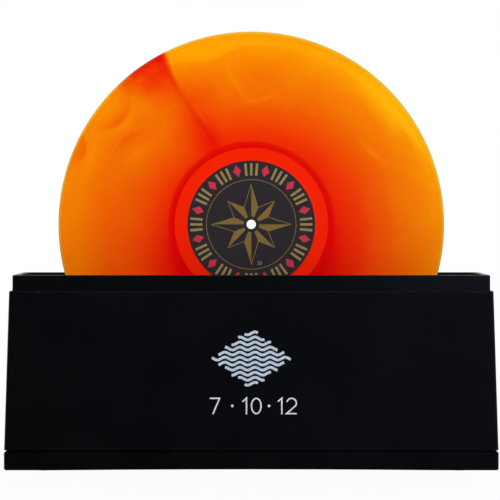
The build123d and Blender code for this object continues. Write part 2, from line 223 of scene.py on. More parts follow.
# ---------------------------------------------------------------- the bath's plastics
def shell_plastic():
    """Satin black moulding: a fine spark-eroded grain, faint patches, and lighter scuffs on edges
    that are partly wear and partly a painted highlight.

    The scuffs and their painted highlight follow the shell's top and foot, where their chance is a
    bell of the height.
    """
    finish = Finish("shell_plastic", specular=0.2)
    patches = finish.noise(60 * mm, detail=4)
    near_edge = finish.z.hump(shell_top_z, 1.2 * mm) + finish.z.hump(shell_foot_z, 1.0 * mm)
    # Lighter patches on the top and foot edges: partly scuffs, partly a painted edge highlight.
    scuffs_and_edge_highlight = near_edge * finish.noise(4 * mm, detail=6, rough=0.7).rise(0.52, 0.72)
    black = finish.mixed(patches.rise(0.3, 0.7), (3, 5, 6), (6, 8, 9))
    finish.colour(finish.mixed(scuffs_and_edge_highlight * 0.5, black, (52, 53, 56)))
    finish.rough(patches * 0.10 + scuffs_and_edge_highlight * 0.15 + 0.26)
    finish.relief(finish.noise(0.35 * mm, detail=2), depth=0.006 * mm)
    return finish.material


def tub_plastic():
    """Polished black moulding, with the faint rings that drops leave as they dry.

    A ring is a bell of the distance to a scattered point. Patches of noise choose the drops, and
    only the inner walls below the fill line have them.
    """
    inner_half_length = 180 * mm
    inner_half_width = 44 * mm
    edge = 1 * mm
    fill_line = 131 * mm
    fade = 9 * mm
    finish = Finish("tub_plastic", specular=0.35)
    inside = (finish.x.math("ABSOLUTE").rise(inner_half_length, inner_half_length - edge)
              * finish.y.math("ABSOLUTE").rise(inner_half_width, inner_half_width - edge))
    wet = inside * finish.z.rise(fill_line, fill_line - fade)
    drop = finish.specks(5 * mm) + finish.noise(3 * mm) * 0.12
    chosen = finish.noise(17 * mm, detail=2).rise(0.52, 0.62)
    rings = drop.hump(0.38, 0.045) * chosen
    film = finish.noise(28 * mm, detail=5, warp=0.6).rise(0.4, 0.75)
    finish.colour(finish.mixed((rings * 0.14 + film * 0.12) * wet, (6, 8, 9), (60, 64, 68)))
    finish.rough((rings * 0.08 + film * 0.12) * wet + 0.15)
    finish.relief(finish.noise(2.5 * mm, detail=3), depth=0.008 * mm)
    return finish.material


# ---------------------------------------------------------------- the record's vinyl
# The marbling is a tone, from 0 for red to 255 for yellow. All places below are millimetres from
# the record's middle, or degrees from +X towards +Z, and all heights and depths are in tone.
rim_ceiling = 158              # the palest tone outside the yellow band
band_ceiling = 173             # the palest tone in it

# Bent streaks: the middle across and up, the direction, the half length, the widths below and
# above the line, its bend, and the height, which is negative for a dark streak.
streaks = (
    (-13, 109, -58, 16, 1.6, 4.0, 0.010, 15),
    (9, 98, 20, 11, 1.8, 1.4, 0.012, 15),
    (12, 116, 0, 16, 10, 10, 0.0, -6),
    (93, 57, -41, 12, 2.2, 2.2, 0.006, 16),
    (-37, 102, 20, 10, 14, 14, 0.0, -17),
    (-102, 81, 45, 15, 1.2, 6.0, 0.022, -28),
    (-99, 79, 48, 13, 4.5, 1.4, 0.018, 14),
    (-97, 67, 38, 12, 4.0, 1.6, -0.012, -16),
    (-92, 55, 40, 13, 7.0, 2.0, 0.0, 9),
    (-118, 93, 50, 14, 5.0, 6.0, 0.0, 11),
    (-130, 58, 80, 12, 1.0, 7.0, 0.030, -30),
    (-126, 50, 70, 15, 5.0, 3.0, 0.0, 8),
    (-60, -104, 20, 40, 6.0, 6.0, 0.008, 18),
    (70, -92, -30, 36, 5.0, 5.0, -0.008, -15),
)

# The colour at each share of the full tone.
marbling_colours = (
    (0.00, (208, 0, 0)),
    (0.08, (230, 18, 0)),
    (0.20, (238, 51, 0)),
    (0.35, (239, 89, 0)),
    (0.50, (245, 127, 0)),
    (0.62, (252, 158, 0)),
    (0.80, (255, 200, 12)),
)


def from_middle(finish):
    """The place across and above the record's middle, and its radius, in millimetres."""
    across = finish.x / mm
    up = (finish.z - record_middle.z) / mm
    return across, up, (across * across + up * up) ** 0.5


class Disc:
    """Where a point lies on the record, as fields in millimetres and degrees.

    Upness and leftness are 1 straight up and straight to the left, and -1 the other way. The
    ripple is noise around 0, which makes edges waver.
    """

    def __init__(self, finish):
        self.across, self.up, self.radius = from_middle(finish)
        self.angle = self.up.math("ARCTAN2", self.across) * (360 / tau)
        self.upness = self.up / self.radius
        self.leftness = self.across / self.radius * -1
        self.ripple = finish.noise(14 * mm, detail=4, rough=0.55, warp=0.9) - 0.5


def broad_tone(disc):
    """The broad change of tone: it grows with the radius and falls towards the bottom.

    Soft patches, each a change round the disc times a change with the radius, lift or sink it.
    """
    radius = disc.radius
    angle = disc.angle
    leftness = disc.leftness
    ring_edge = 64
    tone_there = 41
    tone_per_mm = 1.38
    halfway_swell = radius.hump(100, 14)
    tone = (radius - ring_edge) * tone_per_mm + tone_there + halfway_swell * 11

    downness = 1 - disc.upness
    lower_right = angle.hump(-24, 18)
    lower_left = disc.upness.rise(0.1, -0.5) * leftness.rise(0, 0.5) * radius.rise(130, 70)
    tone = tone - downness * 22 - lower_right * 9 - lower_left * 14

    inner_patch = angle.hump(143, 12) * radius.hump(91, 12)
    outer_patch = angle.hump(152, 9) * radius.hump(104, 6)
    left_swell = leftness.rise(0.3, 0.75) * radius.hump(80, 22)
    right_swell = leftness.rise(-0.7, -1) * radius.hump(74, 10)
    left_rim = leftness.rise(0.5, 0.85) * radius.rise(134, 150)
    return (tone + inner_patch * 7 + outer_patch * 7 + left_swell * 19 + right_swell * 7
            - left_rim * 12)


def with_rim(disc, tone):
    """The tone with a pale rim, and a yellow band in the rim on the right.

    The rim's inner edge dips beside the wedge and wavers with the ripple, and the rim fades out
    to the left. It has a ceiling. Just inside it, the right of the disc is lifted a little. The
    band rises above the rim to a ceiling of its own, and starts lower the further out it is.
    """
    radius = disc.radius
    angle = disc.angle
    leftness = disc.leftness
    rim_edge = 140.8 - angle.hump(104.5, 7.5) * 9 + disc.ripple * 5
    in_rim = (radius - rim_edge).rise(-2.6, 2.0) * leftness.rise(0.7, 0.45)
    rim_height = angle.rise(12, 28) * 8 + 8
    tone = (tone + in_rim * rim_height).math("MINIMUM", rim_ceiling)

    right_lift = leftness.rise(0.1, -0.7) * radius.rise(106, 114) * radius.rise(144, 136)
    tone = tone + right_lift * 9

    wavy = radius + disc.ripple * 5
    outer_part = (radius - 139).math("MAXIMUM", 0)
    onset = (outer_part * 1.6 + angle).rise(30, 35.5)
    band = onset * angle.rise(66, 38) * wavy.rise(124, 137) * wavy.rise(155, 143.5)
    heart = angle.hump(47, 14) * wavy.rise(130, 142)
    return (tone + band * 20 + heart * 6).math("MINIMUM", band_ceiling)


def past_seam(disc):
    """How many degrees a point is past the seam, which bends with the radius from its root."""
    radius = disc.radius
    root_angle = 115.1
    bend = radius.rise(78, 96) * 2.1 + radius.rise(100, 122) * 0.8 - radius.rise(125, 151)
    return disc.angle - (bend + root_angle)


def with_seam(disc, past, tone):
    """The tone with the seam sunk in it: a valley that runs from the label towards the rim.

    The valley is a bell of the angle past the seam. It is wider on the far side, most of all
    near the root. A crease runs along its bed, with a short branch and a paler strip beside it
    and a dusky patch further out.
    """
    radius = disc.radius
    near_width = 5.6
    far_side = past.rise(-0.8, 0.8)
    extra_width = radius.rise(115, 85) * 2.5 + 2.0
    valley = (past / (far_side * extra_width + near_width)).hump(0, 1)
    valley = valley * radius.rise(130, 100) * radius.rise(50, 78)
    branch = past.hump(-4.8, 1.4) * radius.hump(91, 7)
    crease = past.hump(0.3, 1.6) * radius.rise(138, 128) * radius.rise(72, 94)
    dusk = past.hump(-2.0, 3.0) * radius.hump(125, 9)
    strip = past.hump(-2.4, 1.2) * radius.hump(92, 9)
    return tone - valley * 35 - branch * 8 - crease * 11 - dusk * 14 + strip * 6


def with_wedge(disc, past, tone):
    """The tone with the red wedge that the seam opens into, deeper and wider towards the rim.

    Its near side is sharp, and its far side fades over an edge that wavers with the ripple.
    """
    radius = disc.radius
    wedge_tip = 111
    depth_per_mm = 3.38
    far_edge = radius.rise(116, 144) * 4.8 + 8
    fading = (past + disc.ripple * 6 - far_edge).rise(6.5, -6.0)
    wedge = past.rise(-1.2, 1.1) * fading * (radius - wedge_tip).math("MAXIMUM", 0)
    near_edge = past.hump(1.9, 1.7) * radius.rise(124, 144)
    tail = past.hump(16, 5) * radius.rise(122, 142)
    return tone - wedge * depth_per_mm - near_edge * 17 - tail * 18


def with_streaks(disc, tone):
    """The tone with the bent streaks: each is a bell along its line times one across it."""
    for x, z, direction, half_length, below, above, bend, height in streaks:
        cosine = cos(radians(direction))
        sine = sin(radians(direction))
        along = (disc.across - x) * cosine + (disc.up - z) * sine
        aside = (disc.up - z) * cosine - (disc.across - x) * sine - along * along * bend
        width = aside.rise(-0.8, 0.8) * (above - below) + below
        tone = tone + along.hump(0, half_length) * (aside / width).hump(0, 1) * height
    return tone


def with_clouds(finish, disc, tone):
    """The tone with clouds drawn out round the disc, ripples, and thin veins in the noise."""
    swirl = finish.point(disc.across / disc.radius * 0.9, disc.radius * 0.012, disc.upness * 0.9)
    clouds = finish.noise(0.5, detail=5, rough=0.55, warp=1.2, at=swirl) - 0.5
    veins = finish.noise(34 * mm, detail=3, rough=0.5, warp=2.2).hump(0.5, 0.012)
    return tone + (clouds * 24 + disc.ripple * 8 + veins * 4) * disc.radius.rise(64, 100)


def vinyl_colour(finish, disc, past, tone):
    """The tone's colour, with a fine red line in the seam, a ring and a thin edge.

    The ring lies round the label and is brighter on the inside, and its outer part carries painted
    light, a little lighter towards the bottom. The thin edge is a painted rim highlight: yellow,
    and redder where the tone is.
    """
    radius = disc.radius
    fine_line = past.hump(0.7, 0.8) * radius.rise(72, 84) * radius.rise(140, 126)
    marbled = finish.mixed(fine_line * 0.16, (tone / 255).ramp(marbling_colours), (190, 26, 0))

    # The ring's outer part is painted a little lighter red towards the bottom: painted light
    # against the shade that falls there.
    outer_ring_with_painted_light = finish.mixed(disc.upness.rise(0.0, 0.8), (226, 0, 0), (222, 7, 0))
    ring = finish.mixed(radius.rise(59.4, 60.4), (243, 35, 3), outer_ring_with_painted_light)
    outside_ring = radius.rise(61, 65) * 0.22 + radius.rise(64.0, 66.2) * 0.78
    face = finish.mixed(outside_ring, ring, marbled)

    paleness = (tone / rim_ceiling).rise(0.25, 1.0)
    # Painted rim highlight along the thin edge: pale yellow where the vinyl is pale, a darker red
    # where it is red.
    painted_rim_highlight = finish.mixed(paleness, (168, 60, 46), (212, 194, 66))
    return finish.mixed(radius.rise(148.8, 150.1) * 0.7, face, painted_rim_highlight)


def cut_grooves(finish, disc):
    """Grooves in the vinyl: a sine of the radius, with a smooth ring between tracks."""
    radius = disc.radius
    groove_pitch = 0.52
    gap_radii = (75.5, 92.0, 109.5, 128.0)
    gap_width = 0.55
    grooved = radius.rise(61, 62) * radius.rise(146.6, 145.6)
    for gap_radius in gap_radii:
        grooved = grooved * (1 - radius.hump(gap_radius, gap_width))
    groove = (radius * (tau / groove_pitch)).math("SINE") * 0.5 + 0.5
    finish.rough(grooved * 0.12 + 0.12)
    finish.relief(groove * grooved, depth=0.006 * mm)


def vinyl():
    """Marbled translucent vinyl, from red round the label to yellow at the rim.

    Its tone is built up in turn from the broad change, the rim, the seam and its wedge, the
    streaks and the clouds.
    """
    finish = Finish("vinyl", specular=0.08)
    disc = Disc(finish)
    past = past_seam(disc)
    tone = broad_tone(disc)
    tone = with_rim(disc, tone)
    tone = with_seam(disc, past, tone)
    tone = with_wedge(disc, past, tone)
    tone = with_streaks(disc, tone)
    tone = with_clouds(finish, disc, tone)
    finish.colour(vinyl_colour(finish, disc, past, tone))
    cut_grooves(finish, disc)
    return finish.material


# ---------------------------------------------------------------- other materials
def label_paper():
    """Charcoal paper, pressed on: fine fibres, a slight gloss and a ring dented by the press."""
    dent_radius = 16.2
    dent_width = 0.5
    finish = Finish("label_paper", specular=0.25)
    _, _, radius = from_middle(finish)
    fibres = finish.noise(0.7 * mm, detail=4, rough=0.65)
    clouds = finish.noise(22 * mm, detail=3)
    charcoal = finish.mixed(fibres * 0.5 + clouds * 0.5, (32, 31, 33), (46, 43, 45))
    cut_edge = radius.rise(49.2, 49.9)
    finish.colour(finish.mixed(cut_edge * 0.6, charcoal, (128, 26, 16)))
    dent = radius.hump(dent_radius, dent_width) * -0.6
    finish.relief(fibres * 0.4 + dent, depth=0.03 * mm)
    return finish.material


def ink(name, colour, roughness=0.4):
    """Printing ink, a little uneven where it took on the surface."""
    finish = Finish(name, roughness=roughness, specular=0.4)
    cover = finish.noise(1.1 * mm, detail=5, rough=0.7).rise(0.30, 0.62)
    thin = tuple(part * 0.82 for part in colour)
    finish.colour(finish.mixed(cover, thin, colour))
    finish.relief(cover, depth=0.01 * mm)
    return finish.material


def steel(name, dark, light, stretch):
    """Plated or ground steel: fine lines across the axis and a few duller patches."""
    finish = Finish(name, metallic=1.0)
    lines = finish.noise(1.0, detail=3, rough=0.7, at=finish.stretched(*stretch))
    dull = finish.noise(5 * mm, detail=4).rise(0.45, 0.75)
    finish.colour(finish.mixed(lines, dark, light))
    finish.rough(lines * 0.12 + dull * 0.14 + 0.2)
    finish.relief(lines, depth=0.004 * mm)
    return finish.material


def rubber(name, colour, grain):
    """Matt rubber: a pebbled skin with paler dust in its pits."""
    finish = Finish(name, specular=0.3)
    pits = finish.specks(grain).rise(0.15, 0.6)
    dust = finish.noise(6 * mm, detail=4).rise(0.5, 0.8)
    pale = tuple(part + 26 for part in colour)
    finish.colour(finish.mixed(dust * 0.5 + pits * 0.15, colour, pale))
    finish.rough(dust * 0.1 + 0.62)
    finish.relief(pits, depth=0.03 * mm)
    return finish.material


def moulded(name, colour, shade, roughness, grain):
    """Plain moulded plastic: a fine grain, faint flow marks and a slight change of colour."""
    finish = Finish(name, specular=0.35)
    flow = finish.noise(14 * mm, detail=4, warp=1.0)
    finish.colour(finish.mixed(flow, shade, colour))
    finish.rough(flow * 0.12 + roughness)
    finish.relief(finish.noise(grain, detail=2), depth=0.02 * mm)
    return finish.material


def beech():
    """Oiled beech with its grain upright: drawn-out noise for the figure, and short dark flecks."""
    finish = Finish("brush_wood", specular=0.3)
    figure = finish.noise(1.0, detail=4, rough=0.6, warp=0.4, at=finish.stretched(420, 420, 22))
    flecks = finish.noise(1.0, detail=2, at=finish.stretched(2600, 2600, 300)).rise(0.62, 0.72)
    wood = finish.mixed(figure.rise(0.3, 0.7), (156, 106, 60), (210, 166, 114))
    finish.colour(finish.mixed(flecks * 0.55, wood, (112, 70, 38)))
    finish.rough(figure * 0.15 + 0.38)
    finish.relief(figure + flecks * -0.5, depth=0.03 * mm)
    return finish.material


def goat_hair():
    """Cream hair: each hair has its own shade of cream, and all are painted darker at the root, as
    shade among the crowded hairs.
    """
    finish = Finish("brush_hair", roughness=0.55, specular=0.3)
    shade = finish.mixed(finish.attribute("strand"), (188, 170, 140), (240, 230, 208))
    # Painted shade: the hairs darken towards their roots, where they crowd together.
    painted_root_shade = finish.attribute("length").rise(0.5, 0.0)
    finish.colour(finish.mixed(painted_root_shade * 0.6, shade, (96, 80, 62)))
    return finish.material


# The inks, and the finishes that several pieces share.
silver = ink("silver_ink", (226, 228, 233), roughness=0.35)
pale_blue = ink("pale_blue_ink", (194, 209, 224), roughness=0.35)
pale_ink = ink("pale_ink", (176, 179, 184))
gold = ink("gold_ink", (132, 105, 46), roughness=0.36)
pale_gold = ink("pale_gold_ink", (154, 132, 80), roughness=0.36)
rose = ink("rose_ink", (204, 46, 68))
hair = goat_hair()
screw_steel = steel("screw_steel", (128, 132, 140), (196, 200, 208), stretch=(4000, 4000, 600))
axle_steel = steel("axle_steel", (150, 152, 156), (206, 208, 212), stretch=(300, 9000, 300))
case_plastic = shell_plastic()


# ---------------------------------------------------------------- building meshes
def add_mesh(name, points, polygons, body, material):
    """A piece at the origin, with its place in its points, that rides on a body."""
    mesh = bpy.data.meshes.new(name)
    mesh.from_pydata(np.asarray(points, float).tolist(), [], polygons)
    mesh.update()
    mesh.materials.append(material)
    piece = bpy.data.objects.new(name, mesh)
    bpy.context.scene.collection.objects.link(piece)
    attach(piece, body)
    return piece


def joined(shapes):
    """Shapes, each (points, polygons), as one array of points and one list of polygons."""
    points, polygons = [], []
    for shape_points, shape_polygons in shapes:
        first = sum(len(part) for part in points)
        points.append(np.asarray(shape_points, float))
        polygons += [[first + corner for corner in polygon] for polygon in shape_polygons]
    return np.concatenate(points), polygons


def polygon(points):
    """A flat shape with one outline."""
    return points, [list(range(len(points)))]


def ribbon(line, width, closed=False):
    """A band of even width along a line. Its corners are mitred, from the mean of two normals."""
    line = np.asarray(line, float)
    steps = np.diff(line, axis=0, append=line[:1])
    if not closed:
        steps[-1] = steps[-2]
    steps /= np.linalg.norm(steps, axis=1, keepdims=True)
    normals = np.stack([-steps[:, 1], steps[:, 0]], axis=1)
    before = np.roll(normals, 1, axis=0)
    if not closed:
        before[0] = normals[0]
    mitre = (normals + before) / (1 + np.sum(normals * before, axis=1, keepdims=True))
    points = np.concatenate([line + mitre * width / 2, line - mitre * width / 2])
    count = len(line)
    spans = [(i, (i + 1) % count) for i in range(count if closed else count - 1)]
    return points, [[count + i, count + j, j, i] for i, j in spans]


def arc(centre, radius, start, end, steps=24):
    """Points along a circular arc or ellipse between two angles in degrees."""
    turn = np.radians(np.linspace(start, end, steps))
    return np.asarray(centre) + np.stack([np.cos(turn), np.sin(turn)], axis=1) * radius


# Each numeral is the lines of its strokes, at a height of 1, and whether each line is closed.
numerals = {
    "0": [(arc((0.33, 0.5), (0.29, 0.46), 0, 345), True)],
    "1": [([(0.10, 0.76), (0.34, 0.97), (0.34, 0.0)], False)],
    "2": [(np.concatenate([arc((0.33, 0.67), 0.29, 165, -32, 16), [(0.03, 0.04), (0.64, 0.04)]]),
           False)],
    "3": [(arc((0.30, 0.73), 0.23, 150, -95, 16), False),
          (arc((0.30, 0.28), 0.25, 95, -150, 16), False)],
    "7": [([(0.02, 0.96), (0.60, 0.96), (0.20, 0.0)], False)],
}
numeral_widths = {"0": 0.66, "1": 0.44, "2": 0.68, "3": 0.58, "7": 0.60}
numeral_gap = 0.16


def number(text, centre, height, weight=0.085):
    """Thin upright numerals, centred on a point. The weight is a share of the height."""
    left = -(sum(numeral_widths[digit] for digit in text) + numeral_gap * (len(text) - 1)) / 2
    shapes = []
    for digit in text:
        for line, closed in numerals[digit]:
            place = np.asarray(line) + (left, -0.5)
            shapes.append(ribbon(place * height + np.asarray(centre), weight * height, closed))
        left += numeral_widths[digit] + numeral_gap
    return shapes


def printed(name, shapes, lay, body, material):
    """Flat shapes laid on a surface by a function of (u, v), as a thin skin of ink."""
    points, polygons = joined(shapes)
    piece = add_mesh(name, lay(points[:, 0], points[:, 1]), polygons, body, material)
    skin = piece.modifiers.new("ink", "SOLIDIFY")
    skin.thickness = ink_thickness
    skin.offset = 1.0


# ---------------------------------------------------------------- prints
def on_shell_front(u, v):
    """Lays (u, v) on the shell's front: u along X, v the height. The face leans by its draft."""
    y = shell_front + (v - shell_foot_z) * shell_slope - print_lift
    return np.stack([u, y, v], axis=1)


def on_label(face):
    """Lays (u, v) on the label of that face, with v upwards and u to the viewer's right."""
    def lay(u, v):
        y = np.full_like(u, face * (label_face + print_lift))
        return np.stack([-face * u, y, record_middle.z + v], axis=1)
    return lay


def on_deck(face, deck_z, middle_y):
    """Lays (u, v) on the bath's deck on that face's side, to be read from there."""
    def lay(u, v):
        z = np.full_like(u, deck_z + print_lift)
        return np.stack([-face * u, face * middle_y - face * v, z], axis=1)
    return lay


def polar(radius, angle):
    """A point of a flat print, from its radius and its angle in degrees."""
    return radius * np.cos(np.radians(angle)), radius * np.sin(np.radians(angle))


def water_lines():
    """A lozenge of water lines. Each is a sine of u, as long as the lozenge is wide there."""
    half_width = 30 * mm
    half_height = 23 * mm
    middle_z = 86 * mm
    line_count = 11
    wave_length = 11.5 * mm
    wave_height = 1.1 * mm
    line_width = 2.0 * mm
    shapes = []
    for row in np.linspace(-1, 1, line_count + 2)[1:-1]:
        reach = half_width * (1 - abs(row))
        u = np.linspace(-reach, reach, 8 + int(reach / mm) * 2)
        v = middle_z + row * half_height + wave_height * np.sin(u / wave_length * tau)
        shapes.append(ribbon(np.stack([u, v], axis=1), line_width))
    return shapes


def record_sizes():
    """The sizes of record that the bath takes, in inches, with a dot between each two."""
    numeral_height = 12.6 * mm
    middle_z = 50 * mm
    dot_radius = 1.0 * mm
    shapes = []
    for text, u in (("7", -28 * mm), ("10", 0.0), ("12", 27 * mm)):
        shapes += number(text, (u, middle_z), numeral_height)
    for u in (-14.5 * mm, 13.5 * mm):
        shapes.append(polygon(arc((u, middle_z), dot_radius, 0, 345, 16)))
    return shapes


def star(point_count=8):
    """A star in gold. Each point is a kite from the hole's rim, half solid and half an outline."""
    hole_rim = 6.2 * mm
    notch = 14.5 * mm
    long_tip = 31.5 * mm
    short_tip = 26 * mm
    half_turn = 180 / point_count
    solid, outlines = [], []
    for point in range(point_count):
        tip_angle = 90 + point * 2 * half_turn
        tip = polar(short_tip if point % 2 else long_tip, tip_angle)
        solid_side = tip_angle - half_turn
        solid.append(polygon(np.array([polar(hole_rim, tip_angle), tip,
                                       polar(notch, solid_side), polar(hole_rim, solid_side)])))
        outlines.append(ribbon([tip, polar(notch, tip_angle + half_turn)], label_line))
    return solid + outlines


def label_border(group_count=12):
    """A border round the label: groups of three bars, with a diamond between each two groups."""
    middle = 43.0 * mm
    half_length = 4.8 * mm
    bar_width = 1.9 * mm
    bar_step = 5.6
    diamond_half_width = np.degrees(3.2 * mm / middle)
    inner = middle - half_length
    outer = middle + half_length
    bars, diamonds = [], []
    for group in range(group_count):
        group_angle = group * 360 / group_count
        for angle in (group_angle - bar_step, group_angle, group_angle + bar_step):
            bars.append(ribbon([polar(inner, angle), polar(outer, angle)], bar_width))
        angle = group_angle + 180 / group_count
        diamonds.append(polygon(np.array([
            polar(inner, angle), polar(middle, angle + diamond_half_width),
            polar(outer, angle), polar(middle, angle - diamond_half_width)])))
    return bars, diamonds


def label_prints(face_name, face):
    """A label's prints: a star in a ring, the border, and the speed beside the lowest tip."""
    ring_radius = 35.0 * mm
    speed_middle = (6.4 * mm, -30.2 * mm)
    speed_height = 2.4 * mm
    lay = on_label(face)
    ring = ribbon(arc((0, 0), ring_radius, 0, 357, 120), label_line, closed=True)
    bars, diamonds = label_border()
    speed = number("33", speed_middle, speed_height, weight=0.13)
    printed(f"label_star_{face_name}", star() + [ring], lay, "record", gold)
    printed(f"label_bars_{face_name}", bars, lay, "record", pale_gold)
    printed(f"label_diamonds_{face_name}", diamonds, lay, "record", rose)
    printed(f"label_speed_{face_name}", speed, lay, "record", pale_ink)


def slot_numbers(face_name, face):
    """Plain numbers on the deck beside the bush slots, for the size of record that each takes."""
    numeral_height = 4.6 * mm
    beside_slot = 9.5 * mm
    bush_low, bush_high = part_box("axle_bush_front_right")
    slots = (("12", (bush_low.x + bush_high.x) / 2), ("10", 59.5 * mm), ("7", 32 * mm))
    shapes = []
    for text, x in slots:
        for side in (-1, 1):
            shapes += number(text, (side * (x + beside_slot), 0), numeral_height, weight=0.12)
    lay = on_deck(face, deck_z=104 * mm, middle_y=21.2 * mm)
    printed(f"slot_numbers_{face_name}", shapes, lay, "basin", pale_ink)


# ---------------------------------------------------------------- screws
screw_head_radius = 3.0 * mm


def screw_grid(length, columns):
    """One screw, head down, as a grid round its axis: the radius, turn and height of each point.

    The rows run out over the head's face, round its edge and up the shank. On the face, a cross
    is sunk by a depth that falls to 0 at the arms' sides and ends. On the shank, the radius is a
    bell of the height along the thread's pitch, moved on by the turn.
    """
    head_height = 1.9 * mm
    dome = 0.45 * mm
    bevel = 0.35 * mm
    face_rows = 22
    out = np.linspace(0.03, 1, face_rows)
    face_radius = out * (screw_head_radius - bevel)
    face_height = dome * out ** 4
    edge_radius = screw_head_radius - np.array([0.1, 0.0, 0.0, 0.05]) * mm
    edge_height = np.array([0.75 * mm, 1.1 * mm, head_height - 0.1 * mm, head_height])
    shank_radius = 1.4 * mm
    thread_rows = 60
    shank_height = np.linspace(head_height, length, thread_rows)
    row_radius = np.concatenate([face_radius, edge_radius, np.full(thread_rows, shank_radius)])
    row_height = np.concatenate([face_height, edge_height, shank_height])

    turn = np.arange(columns) / columns * tau
    radius = np.repeat(row_radius[:, None], columns, axis=1)
    height = np.repeat(row_height[:, None], columns, axis=1)

    arm_width = 0.62 * mm
    arm_length = 2.0 * mm
    arm_depth = 1.1 * mm
    side_slope = 0.12 * mm
    end_slope = 0.9 * mm
    x = abs(radius * np.cos(turn))
    y = abs(radius * np.sin(turn))
    side = np.clip((arm_width / 2 - np.minimum(x, y)) / side_slope, 0, 1)
    end = np.clip((arm_length - np.maximum(x, y)) / end_slope, 0, 1)
    on_face = (np.arange(len(row_radius)) < face_rows)[:, None]
    height = height + on_face * side * end * arm_depth

    pitch = 1.1 * mm
    core_radius = 1.05 * mm
    ridge_width = 0.16
    tip_length = 2.2 * mm
    tip_share = 0.15
    step = (height / pitch - turn / tau) % 1 - 0.5
    ridge = core_radius + (shank_radius - core_radius) * np.exp(-(step / ridge_width) ** 2)
    taper = np.clip((length - shank_height) / tip_length, tip_share, 1)[:, None]
    radius[-thread_rows:] = ridge[-thread_rows:] * taper
    radius[-thread_rows] = core_radius
    return radius, turn, height


def screws(node, places):
    """Pan-head screws from below, for a node that holds one at each place."""
    low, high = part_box(node)
    columns = 64
    radius, turn, height = screw_grid(high.z - low.z - 0.1 * mm, columns)
    rows = len(radius)
    column = np.arange(columns)
    start = np.arange(rows - 1)[:, None] * columns + column
    after = start - column + (column + 1) % columns
    quads = np.stack([start, start + columns, after + columns, after], axis=-1).reshape(-1, 4)
    last_ring = range(rows * columns - 1, (rows - 1) * columns - 1, -1)
    caps = [list(range(columns)), list(last_ring)]
    shapes = []
    for x, y in places:
        points = np.stack([x + radius * np.cos(turn), y + radius * np.sin(turn),
                           low.z + height], axis=-1).reshape(-1, 3)
        shapes.append((points, quads.tolist() + caps))
    points, polygons = joined(shapes)
    piece = add_mesh(f"{node}_cut", points, polygons, "basin", screw_steel)
    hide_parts(node)


def all_screws():
    """Four screws hold the tray to the shell, in its corners, and two hold it to the tub."""
    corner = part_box("shell_screws")[1]
    x = corner.x - screw_head_radius
    y = corner.y - screw_head_radius
    screws("shell_screws", [(-x, -y), (x, -y), (-x, y), (x, y)])
    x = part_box("tub_screws")[1].x - screw_head_radius
    screws("tub_screws", [(-x, 0), (x, 0)])


# ---------------------------------------------------------------- brushes
def tuft_middles(low, high):
    """The tufts' middles as (x, z), in even rows and columns inside a margin."""
    margin = 1.3 * mm
    pitch = 2.9 * mm
    columns = np.arange(low.x + margin, high.x - margin + 0.1 * mm, pitch)
    rows = np.arange(low.z + margin, high.z - margin + 0.1 * mm, pitch)
    x, z = np.meshgrid(columns, rows)
    return np.stack([x.ravel(), z.ravel()], axis=1)


def hair_polygons(hairs, rings, face):
    """Quads between the three-sided rings of each hair, and a triangle on its end.

    The faces' order turns them outwards on either side of the record.
    """
    side, ring = np.meshgrid(np.arange(3), np.arange(rings - 1))
    after = (side + 1) % 3
    quads = np.stack([ring * 3 + side, ring * 3 + after, ring * 3 + 3 + after,
                      ring * 3 + 3 + side], axis=-1).reshape(-1, 4)
    end = 3 * (rings - 1) + np.arange(3)
    if face < 0:
        quads = quads[:, ::-1]
        end = end[::-1]
    first = np.arange(hairs)[:, None, None] * 3 * rings
    return (first + quads).reshape(-1, 4).tolist() + (first[:, 0] + end).tolist()


def brush_hair(face_name, face, random):
    """Tufts of hair from the strip to just short of the record.

    A hair's line is its root, plus a straight reach, plus a sideways drift that grows with the
    square of the way along it. Its section is a triangle that tapers with the same way.
    """
    tuft_hairs = 34
    root_spread = 0.6 * mm
    end_spread = 2.0 * mm
    stray = 0.3 * mm
    shortfall = 0.16 * mm
    way = np.array([0.0, 0.4, 0.75, 1.0])
    thickness = np.array([0.10, 0.10, 0.09, 0.05]) * mm

    node = f"brush_bristles_{face_name}"
    low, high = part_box(node)
    tuft = np.repeat(tuft_middles(low, high), tuft_hairs, axis=0)
    hairs = len(tuft)
    spin = random.uniform(0, tau, hairs)
    spread = np.sqrt(random.uniform(0, 1, hairs))
    aim = np.stack([np.cos(spin), np.sin(spin)], axis=1) * spread[:, None]
    root = tuft + aim * root_spread
    end = tuft + aim * end_spread + random.normal(0, stray, (hairs, 2))
    end = np.clip(end, (low.x, low.z), (high.x, high.z))
    near, far = (low.y, high.y) if face > 0 else (high.y, low.y)
    short = np.abs(random.normal(0, shortfall, hairs)) * face

    x_z = root[:, None] + (end - root)[:, None] * (way ** 2)[None, :, None]
    y = far + (near + short - far)[:, None] * way
    corner = np.radians([90, 210, 330])
    ring = np.stack([np.cos(corner), np.sin(corner)], axis=1)
    section = x_z[:, :, None] + ring[None, None] * thickness[None, :, None, None]
    section = np.clip(section, (low.x, low.z), (high.x, high.z))
    y = np.broadcast_to(y[:, :, None], section.shape[:3])
    points = np.stack([section[..., 0], y, section[..., 1]], axis=-1).reshape(-1, 3)
    piece = add_mesh(f"brush_hair_{face_name}", points, hair_polygons(hairs, len(way), face),
                     f"{face_name}_brush", hair)
    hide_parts(node)

    strand = np.repeat(random.uniform(0, 1, hairs), 3 * len(way))
    length = np.tile(np.repeat(way, 3), hairs)
    for name, values in (("strand", strand), ("length", length)):
        layer = piece.data.attributes.new(name, "FLOAT", "POINT")
        layer.data.foreach_set("value", values.astype(np.float32))


